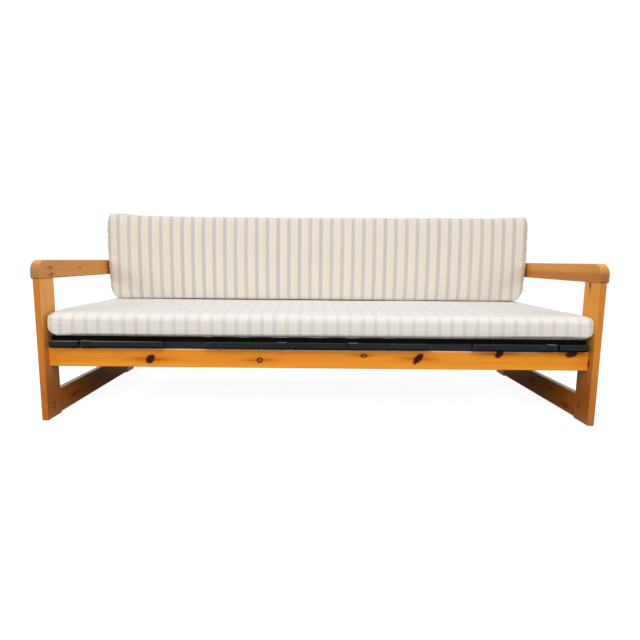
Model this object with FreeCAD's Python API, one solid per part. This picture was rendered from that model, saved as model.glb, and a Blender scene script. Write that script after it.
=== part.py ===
import FreeCAD, Part
import math
import os

from FreeCAD import Vector

# A pine bench bed with a steel seat frame that pulls out of it on four folding legs.
# Millimetres. X runs to the right, Y to the rear and Z up. The origin is on the floor, at the
# middle of the frame.

# Pine side frames
inner_width = 2000.0
frame_depth = 850.0
post_thickness = 25.0
post_depth = 95.0
post_height = 527.0
arm_height = 68.0
arm_overhang = 7.0
arm_nose_radius = 42.0
arm_lip_radius = 6.0
edge_radius = 3.0
foot_chamfer = 2.0
runner_height = 93.0
runner_lift = 6.0
tenon_length = 20.0
tenon_thickness = 9.0
tenon_shoulder = 12.0
joint_clearance = 0.1

# Pine rails and boards between the side frames
rail_bottom = 201.0
rail_height = 70.0
rail_thickness = 25.0
rail_setback = 32.0
side_rail_cover = 2.2
back_board_thickness = 25.0
upper_board_height = 70.0
lower_board_height = 65.0
lower_board_bottom = 430.0
back_slat_count = 12
back_slat_width = 60.0
back_slat_thickness = 20.0
back_slat_side_gap = 50.0

# Fixed base slats behind the pulled-out seat
ledger_width = 25.0
ledger_height = 15.0
ledger_end_gap = 5.0
base_slat_count = 12
base_slat_width = 70.0
base_slat_thickness = 15.0
base_slat_side_gap = 45.0

# Steel guide channels and their pads
channel_wall = 2.0
channel_depth = 16.0
channel_front_gap = 2.0
channel_rear_gap = 6.0
pad_thickness = 1.5
pad_gap = 0.3
pad_width = 10.0
mouth_pad_length = 40.0
bar_pad_length = 60.0
seat_travel = 400.0

# Steel seat frame
bar_lift = 2.0
bar_height = 22.0
bar_width = 30.0
bar_wall = 2.0
bar_side_gap = 2.0
bar_cap_thickness = 3.0
angle_thickness = 3.0
angle_flange = 25.0
angle_end_gap = 14.0
angle_rail_gap = 4.0
rear_angle_gap = 3.0
mattress_tuck = 3.0
cross_bar_width = 25.0
skid_gap = 0.3
skid_outer_reach = 35.0
skid_inner_reach = 28.0
seat_slat_count = 14
seat_slat_width = 70.0
seat_slat_thickness = 19.0
seat_slat_end_gap = 0.5
seat_slat_side_gap = 1.0

# Folding legs, their brackets and the stub tubes in line with them
leg_size = 18.0
leg_rise = 3.4
leg_wall = 1.5
leg_back_gap = 1.0
leg_floor_gap = 1.5
leg_cap_thickness = 5.0
leg_plug_length = 14.0
outer_pivot_share = 0.855
inner_pivot_share = 0.130
bracket_width = 34.0
bracket_thickness = 2.0
bracket_gap = 0.3
stub_gap = 10.0

# Fasteners
bolt_radius = 3.0
bolt_length = 75.0
bolt_head_radius = 7.0
bolt_head_thickness = 2.5
barrel_radius = 5.0
barrel_length = 16.0
barrel_end_distance = 40.0
rail_dowel_radius = 4.0
rail_dowel_reach = 15.0
rail_dowel_drop = 22.0
arm_dowel_radius = 5.0
arm_dowel_reach = 22.0
arm_dowel_spacing = 50.0
fit_clearance = 0.05
pivot_clearance = 0.08
pivot_radius = 3.0
pivot_head_radius = 5.5
pivot_head_thickness = 2.5
pivot_nut_radius = 5.8
pivot_nut_thickness = 5.0
pivot_nut_sides = 6
nut_pocket_clearance = 0.6
screw_radius = 2.0
screw_head_radius = 4.0
screw_head_thickness = 1.8
ledger_screw_count = 7
ledger_screw_grip = 15.0
slat_screw_grip = 10.0
back_screw_grip = 13.0
channel_screw_count = 5
channel_screw_grip = 16.0
screw_end_distance = 60.0
rivet_radius = 2.5
rivet_head_radius = 4.5
rivet_head_thickness = 1.5

# Seat mattress
mattress_height = 90.0
mattress_crown = 6.0
mattress_front_inset = 9.0
mattress_rear_gap = 26.0
mattress_left_gap = 12.0
mattress_right_gap = 1.0
mattress_low_radius = 20.0
mattress_high_radius = 26.0
mattress_end_low_radius = 34.0
mattress_corner_radius = 16.0
mattress_draw = 5.0
mattress_end_draw = 3.0

# Back cushion
cushion_height = 396.0
cushion_thickness = 172.0
cushion_left_gap = 8.0
cushion_right_gap = 1.2
cushion_crown = 9.0
cushion_back_crown = 3.0
cushion_seam_radius = 20.0
cushion_end_radius = 22.0
cushion_low_corner_width = 70.0
cushion_low_corner_height = 140.0
cushion_high_corner_width = 30.0
cushion_high_corner_height = 100.0
cushion_top_draw = 7.0
cushion_lean = 12.0
soft_gap = 0.3

# Places that follow from the sizes
half_inner = inner_width / 2
half_depth = frame_depth / 2
post_outer = half_inner + post_thickness
arm_outer = post_outer + arm_overhang
post_middle = half_inner + post_thickness / 2
front_post_back = post_depth - half_depth
rear_post_front = half_depth - post_depth
arm_top = post_height + arm_height
rail_top = rail_bottom + rail_height
front_rail_front = rail_setback - half_depth
front_rail_back = front_rail_front + rail_thickness
rear_rail_back = half_depth - rail_setback
rear_rail_front = rear_rail_back - rail_thickness
back_slat_front = rear_post_front - back_slat_thickness

bar_bottom = rail_top + bar_lift
bar_top = bar_bottom + bar_height
pad_space = pad_thickness + pad_gap
channel_bottom = bar_bottom - pad_space - channel_wall
channel_top = bar_top + pad_space + channel_wall
channel_front = front_rail_back + channel_front_gap
channel_rear = rear_post_front - channel_rear_gap
side_rail_top = channel_top + side_rail_cover
bar_outer = half_inner - channel_wall - bar_side_gap
bar_inner = bar_outer - bar_width

flange_back = front_rail_front
flange_front = flange_back - angle_thickness
flange_top = bar_top + angle_thickness
slat_top = flange_top + seat_slat_thickness
angle_half = half_inner - angle_end_gap
rear_angle_half = half_inner - channel_depth - rear_angle_gap
mattress_front = mattress_front_inset - half_depth
mattress_rear = rear_post_front - mattress_rear_gap
mattress_depth = mattress_rear - mattress_front
seat_rear = mattress_rear - mattress_tuck - angle_thickness

leg_back = flange_front - leg_back_gap
leg_front = leg_back - leg_size
leg_top = bar_top + leg_rise
leg_bottom = leg_top - leg_size
pivot_height = leg_top - leg_size / 2
leg_length = pivot_height - leg_floor_gap
outer_pivot = outer_pivot_share * half_inner
inner_pivot = inner_pivot_share * half_inner
bracket_front = leg_front - bracket_gap - bracket_thickness

base_slat_bottom = rail_bottom + ledger_height
base_slat_top = base_slat_bottom + base_slat_thickness
mattress_bottom = slat_top + soft_gap

SIDES = (("left", -1), ("right", 1))


def box(x_span, y_span, z_span):
    """A block between two places along each axis."""
    low = Vector(min(x_span), min(y_span), min(z_span))
    sizes = [max(span) - min(span) for span in (x_span, y_span, z_span)]
    return Part.makeBox(sizes[0], sizes[1], sizes[2], low)


def mirrored(span, side):
    """A span of X places on the right, moved to the named side."""
    return tuple(side * place for place in span)


def eased(shape, direction, radius=edge_radius):
    """Round every straight edge that runs along one axis."""
    edges = []
    for edge in shape.Edges:
        run = edge.Vertexes[-1].Point - edge.Vertexes[0].Point
        if run.Length > 0 and abs(run.normalize().dot(direction)) > math.cos(math.radians(1)):
            edges.append(edge)
    return shape.makeFillet(radius, edges)


def rod(start, direction, length, radius):
    """A round bar from a point along a direction."""
    return Part.makeCylinder(radius, length, start, direction)


def drilled(shape, cutters):
    """The shape with a list of cutters taken out of it."""
    return shape.cut(Part.makeCompound(cutters)) if cutters else shape


def tube(x_span, y_span, z_span, wall, axis):
    """A rectangular tube, open at both ends, that runs along axis 0, 1 or 2."""
    spans = [x_span, y_span, z_span]
    inside = []
    for number, span in enumerate(spans):
        inset = 0 if number == axis else wall
        inside.append((min(span) + inset, max(span) - inset))
    return box(*spans).cut(box(*inside))


def spread(count, low, high):
    """Evenly spread places from low to high."""
    return [low + (high - low) * number / (count - 1) for number in range(count)]


X_AXIS = Vector(1, 0, 0)
Y_AXIS = Vector(0, 1, 0)
Z_AXIS = Vector(0, 0, 1)


# Fasteners of the pine frame

def frame_joints():
    """Each rail or board end: its side, the outer face there, and the middle of its section."""
    rail_middle = rail_bottom + rail_height / 2
    board_middle = rear_post_front + back_board_thickness / 2
    lower_middle = lower_board_bottom + lower_board_height / 2
    upper_middle = arm_top - upper_board_height / 2
    front_middle = (front_rail_front + front_rail_back) / 2
    rear_middle = (rear_rail_front + rear_rail_back) / 2
    joints = []
    for _, side in SIDES:
        joints.append(("front_rail", side, post_outer, front_middle, rail_middle))
        joints.append(("rear_rail", side, post_outer, rear_middle, rail_middle))
        joints.append(("lower_back_board", side, post_outer, board_middle, lower_middle))
        joints.append(("upper_back_board", side, arm_outer, board_middle, upper_middle))
    return joints


def bolt_along(side, outer, y, z, clearance=0):
    """A connector bolt whose flat head is flush with the outer face."""
    inward = Vector(-side, 0, 0)
    start = Vector(side * outer, y, z)
    head = rod(start, inward, bolt_head_thickness + clearance, bolt_head_radius + clearance)
    grip = outer - half_inner + bolt_length - post_thickness
    return head.fuse(rod(start, inward, grip + clearance, bolt_radius + clearance))


def barrel_at(side, y, z):
    """A barrel nut crosswise to the bolt, inside the rail."""
    place = Vector(side * (half_inner - barrel_end_distance), y - barrel_length / 2, z)
    nut = rod(place, Y_AXIS, barrel_length, barrel_radius)
    face = Vector(side * half_inner, y, z)
    return nut.cut(rod(face, Vector(-side, 0, 0), bolt_length, bolt_radius + fit_clearance))


def barrel_bore(side, y, z):
    """The blind bore for a barrel nut, open towards the inside of the bed."""
    inward = -Y_AXIS if y > 0 else Y_AXIS
    place = Vector(side * (half_inner - barrel_end_distance), y, z) - inward * (barrel_length / 2)
    return rod(place, inward, barrel_length + rail_thickness, barrel_radius + fit_clearance)


def rail_dowel_at(side, y, z, clearance=0):
    """A dowel across the face between a rail end and its post, below the bolt."""
    reach = rail_dowel_reach + clearance
    start = Vector(side * half_inner - reach, y, z - rail_dowel_drop)
    return rod(start, X_AXIS, 2 * reach, rail_dowel_radius + clearance)


def arm_dowels(side, clearance=0):
    """The four upright dowels that hold one arm rail on its posts."""
    reach = arm_dowel_reach + clearance
    dowels = []
    for end in (-1, 1):
        middle = end * (half_depth - post_depth / 2)
        for step in (-1, 1):
            y = middle + step * arm_dowel_spacing / 2
            start = Vector(side * post_middle, y, post_height - reach)
            dowels.append(rod(start, Z_AXIS, 2 * reach, arm_dowel_radius + clearance))
    return dowels


def joint_cutters(only=None):
    """The bores that the connector bolts, barrel nuts and rail dowels need."""
    cutters = []
    for name, side, outer, y, z in frame_joints():
        if only in (None, name):
            cutters.append(bolt_along(side, outer, y, z, fit_clearance))
            cutters.append(rail_dowel_at(side, y, z, fit_clearance))
            if only:
                cutters.append(barrel_bore(side, y, z))
    return cutters


# Side frames

def tenoned_board(side, z_span, clearance=0):
    """A board between the posts of one side, with a tenon at each end."""
    x_span = mirrored((half_inner, post_outer), side)
    board = box(x_span, (front_post_back, rear_post_front), z_span)
    board = eased(board, Y_AXIS)
    half = tenon_thickness / 2 + clearance
    tenon_x = mirrored((post_middle - half, post_middle + half), side)
    reach = tenon_length + clearance
    shoulder = tenon_shoulder - clearance
    tenon_y = (front_post_back - reach, rear_post_front + reach)
    tenon_z = (z_span[0] + shoulder, z_span[1] - shoulder)
    return board.fuse(box(tenon_x, tenon_y, tenon_z)).removeSplitter()


def runner_span():
    return (runner_lift, runner_lift + runner_height)


def side_rail_span():
    return (rail_bottom, side_rail_top)


def post(side, end):
    """An upright post, mortised for the runner and side rail and bored for its fasteners."""
    x_span = mirrored((half_inner, post_outer), side)
    y_span = mirrored((half_depth - post_depth, half_depth), end)
    shape = eased(box(x_span, y_span, (0, post_height)), Z_AXIS)
    bottom = [edge for edge in shape.Edges if edge.BoundBox.ZMax < foot_chamfer]
    shape = shape.makeChamfer(foot_chamfer, bottom)
    cutters = joint_cutters() + arm_dowels(side, fit_clearance)
    for z_span in (runner_span(), side_rail_span()):
        reach = tenon_length + joint_clearance
        half = tenon_thickness / 2 + joint_clearance
        mortise_x = mirrored((post_middle - half, post_middle + half), side)
        face = half_depth - post_depth
        mortise_y = mirrored((face, face + reach), end)
        shoulder = tenon_shoulder - joint_clearance
        mortise_z = (z_span[0] + shoulder, z_span[1] - shoulder)
        cutters.append(box(mortise_x, mortise_y, mortise_z))
    return drilled(shape, cutters)


def arm_rail(side):
    """An arm rail with rounded noses, flush inside and proud of the post outside."""
    x = side * half_inner
    front = -half_depth
    rear = half_depth
    turn = arm_nose_radius * (1 - math.sqrt(0.5))
    lip = arm_lip_radius
    lip_turn = lip * (1 - math.sqrt(0.5))
    top = arm_top
    low = post_height

    def at(y, z):
        return Vector(x, y, z)

    edges = [
        Part.LineSegment(at(front + lip, low), at(rear - lip, low)),
        Part.Arc(at(rear - lip, low), at(rear - lip_turn, low + lip_turn), at(rear, low + lip)),
        Part.LineSegment(at(rear, low + lip), at(rear, top - arm_nose_radius)),
        Part.Arc(at(rear, top - arm_nose_radius), at(rear - turn, top - turn),
                 at(rear - arm_nose_radius, top)),
        Part.LineSegment(at(rear - arm_nose_radius, top), at(front + arm_nose_radius, top)),
        Part.Arc(at(front + arm_nose_radius, top), at(front + turn, top - turn),
                 at(front, top - arm_nose_radius)),
        Part.LineSegment(at(front, top - arm_nose_radius), at(front, low + lip)),
        Part.Arc(at(front, low + lip), at(front + lip_turn, low + lip_turn), at(front + lip, low)),
    ]
    profile = Part.Wire([edge.toShape() for edge in edges])
    thickness = post_thickness + arm_overhang
    shape = Part.Face(profile).extrude(Vector(side * thickness, 0, 0))
    outlines = []
    for edge in shape.Edges:
        if edge.BoundBox.XLength < edge_radius / 2:
            outlines.append(edge)
    shape = shape.makeFillet(edge_radius, outlines)
    return drilled(shape, joint_cutters() + arm_dowels(side, fit_clearance))


# Rails, boards and base slats

def cross_board(name, y_span, z_span):
    """A board that runs from post to post, bored for its connector bolts."""
    board = eased(box((-half_inner, half_inner), y_span, z_span), X_AXIS)
    return drilled(board, joint_cutters(name))


def flat_screw(point, direction, length, clearance=0):
    """A screw from its flush head along a direction."""
    head = rod(point, direction, screw_head_thickness + clearance, screw_head_radius + clearance)
    return head.fuse(rod(point, direction, length + clearance, screw_radius + clearance))


def ledger_screws(clearance=0):
    """Screws through both ledgers into the front and rear rails."""
    reach = half_inner - screw_end_distance
    z = rail_bottom + ledger_height / 2
    length = ledger_width + ledger_screw_grip
    screws = []
    for x in spread(ledger_screw_count, -reach, reach):
        front = Vector(x, front_rail_back + ledger_width, z)
        screws.append(flat_screw(front, -Y_AXIS, length, clearance))
        rear = Vector(x, rear_rail_front - ledger_width, z)
        screws.append(flat_screw(rear, Y_AXIS, length, clearance))
    return screws


def base_slat_places():
    reach = half_inner - base_slat_side_gap - base_slat_width / 2
    return spread(base_slat_count, -reach, reach)


def base_slat_screws(clearance=0):
    """Screws down through the ends of the base slats into the ledgers."""
    length = base_slat_thickness + slat_screw_grip
    screws = []
    for x in base_slat_places():
        for y in (front_rail_back + ledger_width / 2, rear_rail_front - ledger_width / 2):
            top = Vector(x, y, base_slat_top)
            screws.append(flat_screw(top, -Z_AXIS, length, clearance))
    return screws


def back_slat_places():
    reach = half_inner - back_slat_side_gap - back_slat_width / 2
    return spread(back_slat_count, -reach, reach)


def back_slat_screws(clearance=0):
    """Screws from behind, through the back boards into the upright back slats."""
    length = back_board_thickness + back_screw_grip
    heights = (lower_board_bottom + lower_board_height / 2, arm_top - upper_board_height / 2)
    screws = []
    for x in back_slat_places():
        for z in heights:
            start = Vector(x, rear_post_front + back_board_thickness, z)
            screws.append(flat_screw(start, -Y_AXIS, length, clearance))
    return screws


def ledger(y_span):
    reach = half_inner - ledger_end_gap
    board = box((-reach, reach), y_span, (rail_bottom, rail_bottom + ledger_height))
    cutters = ledger_screws(fit_clearance) + base_slat_screws(fit_clearance)
    return drilled(board, cutters)


def base_slats():
    slats = []
    half = base_slat_width / 2
    for x in base_slat_places():
        slat = box((x - half, x + half), (front_rail_back, rear_rail_front),
                   (base_slat_bottom, base_slat_top))
        slats.append(eased(slat, Y_AXIS))
    return drilled(Part.makeCompound(slats), base_slat_screws(fit_clearance))


def back_slats():
    """Upright slats on the front of the back boards, which the back cushion leans on."""
    slats = []
    half = back_slat_width / 2
    for x in back_slat_places():
        slat = box((x - half, x + half), (back_slat_front, rear_post_front),
                   (lower_board_bottom, arm_top))
        slats.append(eased(slat, Z_AXIS))
    return drilled(Part.makeCompound(slats), back_slat_screws(fit_clearance))


# Guide channels

def channel_screws(clearance=0):
    """Screws through the back of each channel into its side rail."""
    middle = (channel_bottom + channel_top) / 2
    first = channel_front + screw_end_distance
    last = channel_rear - screw_end_distance
    screws = []
    for _, side in SIDES:
        for y in spread(channel_screw_count, first, last):
            start = Vector(side * (half_inner - channel_wall), y, middle)
            length = channel_wall + channel_screw_grip
            screws.append(flat_screw(start, Vector(side, 0, 0), length, clearance))
    return screws


def guide_channel(side):
    """A channel on the side rail, open towards the middle, in which a side bar runs."""
    outer = mirrored((half_inner - channel_depth, half_inner), side)
    hollow = mirrored((half_inner - 2 * channel_depth, half_inner - channel_wall), side)
    y_span = (channel_front, channel_rear)
    shape = box(outer, y_span, (channel_bottom, channel_top))
    hollow_z = (channel_bottom + channel_wall, channel_top - channel_wall)
    return drilled(shape.cut(box(hollow, y_span, hollow_z)), channel_screws(fit_clearance))


def pad_x(side):
    outer = bar_outer - bar_side_gap
    return mirrored((outer - pad_width, outer), side)


def mouth_pads():
    """Nylon pads on the upper and lower flange at the mouth of each channel."""
    pads = []
    for _, side in SIDES:
        y_span = (channel_front, channel_front + mouth_pad_length)
        low = channel_bottom + channel_wall
        high = channel_top - channel_wall
        pads.append(box(pad_x(side), y_span, (low, low + pad_thickness)))
        pads.append(box(pad_x(side), y_span, (high - pad_thickness, high)))
    return Part.makeCompound(pads)


# Seat frame

def side_bar(side):
    """A side bar of the seat frame, half inside its channel."""
    return tube(mirrored((bar_inner, bar_outer), side), (flange_back, seat_rear),
                (bar_bottom, bar_top), bar_wall, 1)


def bar_pads():
    """Nylon pads on each side bar; the front pair meets the mouth pads at full travel."""
    stop = channel_front + mouth_pad_length + seat_travel + pad_gap
    pads = []
    for _, side in SIDES:
        for front in (stop, seat_rear - bar_pad_length):
            y_span = (front, front + bar_pad_length)
            pads.append(box(pad_x(side), y_span, (bar_bottom - pad_thickness, bar_bottom)))
            pads.append(box(pad_x(side), y_span, (bar_top, bar_top + pad_thickness)))
    return Part.makeCompound(pads)


def bar_caps():
    """Plastic caps on the rear ends of the side bars."""
    caps = []
    for _, side in SIDES:
        x_span = mirrored((bar_inner, bar_outer), side)
        caps.append(box(x_span, (seat_rear, seat_rear + bar_cap_thickness), (bar_bottom, bar_top)))
    return Part.makeCompound(caps)


def seat_slat_places():
    reach = bar_inner - seat_slat_side_gap - seat_slat_width / 2
    return spread(seat_slat_count, -reach, reach)


def slat_rivets(clearance=0):
    """Flush rivets through both ends of every seat slat and the flange under it."""
    length = slat_top - bar_top
    rivets = []
    for x in seat_slat_places():
        for y in (flange_back + angle_flange / 2, seat_rear - angle_flange / 2):
            top = Vector(x, y, slat_top)
            head = rod(top, -Z_AXIS, rivet_head_thickness + clearance,
                       rivet_head_radius + clearance)
            shank = rod(top, -Z_AXIS, length, rivet_radius + clearance)
            rivets.append(head.fuse(shank))
    return rivets


def pivots():
    """Each leg: its name, side, pivot place along X and the way the folded leg points."""
    places = []
    for name, side in SIDES:
        places.append((name + "_outer", side * outer_pivot, -side))
        places.append((name + "_inner", side * inner_pivot, side))
    return places


def front_angle():
    """The front edge of the seat frame: an upright flange and a shelf for the slats."""
    x_span = (-angle_half, angle_half)
    low = rail_top + angle_rail_gap
    upright = box(x_span, (flange_front, flange_back), (low, slat_top))
    shelf = box(x_span, (flange_back, flange_back + angle_flange), (bar_top, flange_top))
    cutters = slat_rivets(fit_clearance)
    for _, x, _ in pivots():
        start = Vector(x, flange_front, pivot_height)
        cutters.append(rod(start, Y_AXIS, angle_thickness, pivot_radius + fit_clearance))
    return drilled(upright.fuse(shelf).removeSplitter(), cutters)


def rear_angle():
    """The rear edge of the seat frame, clear of the guide channels."""
    x_span = (-rear_angle_half, rear_angle_half)
    upright = box(x_span, (seat_rear, seat_rear + angle_thickness), (bar_top, slat_top))
    shelf = box(x_span, (seat_rear - angle_flange, seat_rear), (bar_top, flange_top))
    return drilled(upright.fuse(shelf).removeSplitter(), slat_rivets(fit_clearance))


def cross_bar():
    """A tube between the side bars that carries the slats at the middle of their run."""
    middle = (flange_back + seat_rear) / 2
    half = cross_bar_width / 2
    return tube((-bar_inner, bar_inner), (middle - half, middle + half),
                (bar_bottom, flange_top), bar_wall, 0)


def seat_slats():
    slats = []
    half = seat_slat_width / 2
    y_span = (flange_back + seat_slat_end_gap, seat_rear - seat_slat_end_gap)
    for x in seat_slat_places():
        slat = box((x - half, x + half), y_span, (flange_top, slat_top))
        slats.append(eased(slat, Y_AXIS))
    return drilled(Part.makeCompound(slats), slat_rivets(fit_clearance))


def skid(x_span):
    """A black block under the front angle that rests on the front rail."""
    block = box(x_span, (front_rail_front, front_rail_back), (rail_top + skid_gap, bar_top))
    cutters = slat_rivets(fit_clearance)
    for _, x, _ in pivots():
        start = Vector(x, front_rail_front, pivot_height)
        depth = pivot_nut_thickness + nut_pocket_clearance
        cutters.append(rod(start, Y_AXIS, depth, pivot_nut_radius + nut_pocket_clearance))
    return drilled(block, cutters)


def stub(x_span):
    """A short fixed tube in line with the folded legs."""
    back = flange_front
    return tube(x_span, (back - leg_size, back), (leg_bottom, leg_top), leg_wall, 0)


def bracket(x):
    """A leg bracket: a plate in front of the leg's end, bent back over it to the front angle."""
    half = bracket_width / 2
    x_span = (x - half, x + half)
    top = leg_top + bracket_gap + bracket_thickness
    front = box(x_span, (bracket_front, bracket_front + bracket_thickness), (leg_bottom, top))
    roof = box(x_span, (bracket_front, flange_front), (top - bracket_thickness, top))
    hole = rod(Vector(x, bracket_front, pivot_height), Y_AXIS, bracket_thickness,
               pivot_radius + fit_clearance)
    return front.fuse(roof).removeSplitter().cut(hole)


def pivot_bolts():
    """One bolt through each bracket, leg and front angle."""
    bolts = []
    reach = flange_back + pivot_nut_thickness - bracket_front
    for _, x, _ in pivots():
        face = Vector(x, bracket_front, pivot_height)
        head = rod(face, -Y_AXIS, pivot_head_thickness, pivot_head_radius)
        bolts.append(head.fuse(rod(face, Y_AXIS, reach, pivot_radius)))
    return Part.makeCompound(bolts)


def pivot_nuts():
    """Nuts with flat sides behind the front angle."""
    nuts = []
    for _, x, _ in pivots():
        corners = []
        for number in range(pivot_nut_sides + 1):
            turn = math.tau * number / pivot_nut_sides
            corners.append(Vector(x + pivot_nut_radius * math.cos(turn), flange_back,
                                  pivot_height + pivot_nut_radius * math.sin(turn)))
        body = Part.Face(Part.makePolygon(corners)).extrude(Y_AXIS * pivot_nut_thickness)
        bore = rod(Vector(x, flange_back, pivot_height), Y_AXIS, pivot_nut_thickness,
                   pivot_radius + fit_clearance)
        nuts.append(body.cut(bore))
    return Part.makeCompound(nuts)


# Folding legs

def leg_tube(x, way):
    """A square leg, folded up along the front, rounded at its pivot and open inside."""
    half = leg_size / 2
    foot = x + way * (leg_length - leg_cap_thickness)
    y_span = (leg_front, leg_back)
    z_span = (leg_bottom, leg_top)
    straight = box((x, foot), y_span, z_span)
    turned = rod(Vector(x, leg_front, pivot_height), Y_AXIS, leg_size, half)
    inside = box((x - way * leg_size, foot), (leg_front + leg_wall, leg_back - leg_wall),
                 (leg_bottom + leg_wall, leg_top - leg_wall))
    bore = rod(Vector(x, leg_front, pivot_height), Y_AXIS, leg_size,
               pivot_radius + pivot_clearance)
    return straight.fuse(turned).removeSplitter().cut(inside).cut(bore)


def leg_cap(x, way):
    """The plastic foot of a leg, with a plug inside the tube."""
    foot = x + way * leg_length
    face = foot - way * leg_cap_thickness
    cap = box((face, foot), (leg_front, leg_back), (leg_bottom, leg_top))
    plug = box((face - way * leg_plug_length, face),
               (leg_front + leg_wall, leg_back - leg_wall),
               (leg_bottom + leg_wall, leg_top - leg_wall))
    return cap.fuse(plug).removeSplitter()


# Cushions

def round_inset(height, total, low_radius, high_radius):
    """How far a rounded edge draws in at a height between the bottom and the top."""
    for rise, radius in ((height, low_radius), (total - height, high_radius)):
        if rise < radius:
            return radius - math.sqrt(radius ** 2 - (radius - rise) ** 2)
    return 0


def outline(u_span, v_span, corner, bows, place):
    """A closed outline with four rounded corners, set in space by a function of u and v.

    The bows say how far the low v, high u, high v and low u sides stand out; a negative bow
    draws the side in.
    """
    left, right = u_span
    low, high = v_span
    middle_u = (left + right) / 2
    middle_v = (low + high) / 2
    turn = corner * (1 - math.sqrt(0.5))
    points = [
        ((left + corner, low), (middle_u, low - bows[0]), (right - corner, low)),
        ((right - corner, low), (right - turn, low + turn), (right, low + corner)),
        ((right, low + corner), (right + bows[1], middle_v), (right, high - corner)),
        ((right, high - corner), (right - turn, high - turn), (right - corner, high)),
        ((right - corner, high), (middle_u, high + bows[2]), (left + corner, high)),
        ((left + corner, high), (left + turn, high - turn), (left, high - corner)),
        ((left, high - corner), (left - bows[3], middle_v), (left, low + corner)),
        ((left, low + corner), (left + turn, low + turn), (left + corner, low)),
    ]
    edges = []
    for start, middle, end in points:
        ends = (place(*start), place(*end))
        straight = start[0] == middle[0] == end[0] or start[1] == middle[1] == end[1]
        if straight:
            edges.append(Part.LineSegment(*ends).toShape())
        else:
            edges.append(Part.Arc(ends[0], place(*middle), ends[1]).toShape())
    return Part.Wire(edges)


def levels(total, low_radius, high_radius):
    """Distances along a cushion for its outlines, close together where its edges turn."""
    turn_shares = (0.0, 0.07, 0.25, 0.55, 1.0)
    middle_shares = (0.14, 0.32, 0.5, 0.68, 0.86)
    places = [low_radius * share for share in turn_shares]
    between = total - low_radius - high_radius
    places += [low_radius + between * share for share in middle_shares]
    places += [total - high_radius * share for share in reversed(turn_shares)]
    return places


def mattress():
    """The seat mattress: flat below, its sides drawn in, its top slightly crowned."""
    left = mattress_left_gap - half_inner
    right = half_inner - mattress_right_gap
    wires = []

    def add(side_inset, end_inset, draw_share, height):
        side_bow = -mattress_draw * draw_share
        end_bow = -mattress_end_draw * draw_share
        wires.append(outline((left + end_inset, right - end_inset),
                             (mattress_front + side_inset, mattress_rear - side_inset),
                             mattress_corner_radius, (side_bow, end_bow, side_bow, end_bow),
                             lambda x, y: Vector(x, y, mattress_bottom + height)))

    for height in levels(mattress_height, mattress_end_low_radius, mattress_high_radius):
        add(round_inset(height, mattress_height, mattress_low_radius, mattress_high_radius),
            round_inset(height, mattress_height, mattress_end_low_radius, mattress_high_radius),
            1, height)
    crown_shares = (0.12, 0.30, 0.50, 0.72)
    run = mattress_depth / 2 - mattress_high_radius
    for share in crown_shares:
        inset = mattress_high_radius + run * share
        rise = mattress_crown * (1 - (1 - share) ** 2)
        add(inset, inset, 1 - share, mattress_height + rise)
    return Part.makeLoft(wires, True, True)


def corner_rise(place, length, width, height):
    """How far an oval corner of a cushion draws in at a distance from its left end."""
    return round_inset(place, length, width, width) * height / width


def loose_cushion():
    """The back cushion, leaning to the rear, with its bottom at height zero.

    Its outlines stand across its length. The ends taper towards the bottom, the top draws in
    between the upper corners, and the front and back swell towards the middle.
    """
    left = cushion_left_gap - half_inner
    length = inner_width - cushion_left_gap - cushion_right_gap
    wires = []
    for place in levels(length, cushion_low_corner_width, cushion_low_corner_width):
        end_inset = round_inset(place, length, cushion_end_radius, cushion_end_radius)
        low_inset = corner_rise(place, length, cushion_low_corner_width,
                                cushion_low_corner_height)
        high_inset = corner_rise(place, length, cushion_high_corner_width,
                                 cushion_high_corner_height)
        arch = math.sin(math.pi * place / length)
        top = cushion_height - high_inset - cushion_top_draw * arch
        front_bow = cushion_crown * (1 + arch) / 2
        back_bow = cushion_back_crown * (1 + arch) / 2
        wires.append(outline((end_inset, cushion_thickness - end_inset), (low_inset, top),
                             cushion_seam_radius, (0, back_bow, 0, front_bow),
                             lambda u, v: Vector(left + place,
                                                 u + cushion_lean * v / cushion_height, v)))
    return Part.makeLoft(wires, True, True)


def back_cushion(seat, rest):
    """The back cushion set down on the mattress and against the back slats."""
    cushion = loose_cushion()
    clear = cushion_thickness + cushion_lean
    cushion.translate(Vector(0, back_slat_front - clear - cushion_thickness,
                             seat.BoundBox.ZMax + mattress_crown))
    for _ in range(3):
        back = cushion.distToShape(rest)[0] - soft_gap
        cushion.translate(Vector(0, back, 0))
        drop = cushion.distToShape(seat)[0] - soft_gap
        cushion.translate(Vector(0, 0, -drop))
    return cushion


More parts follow.
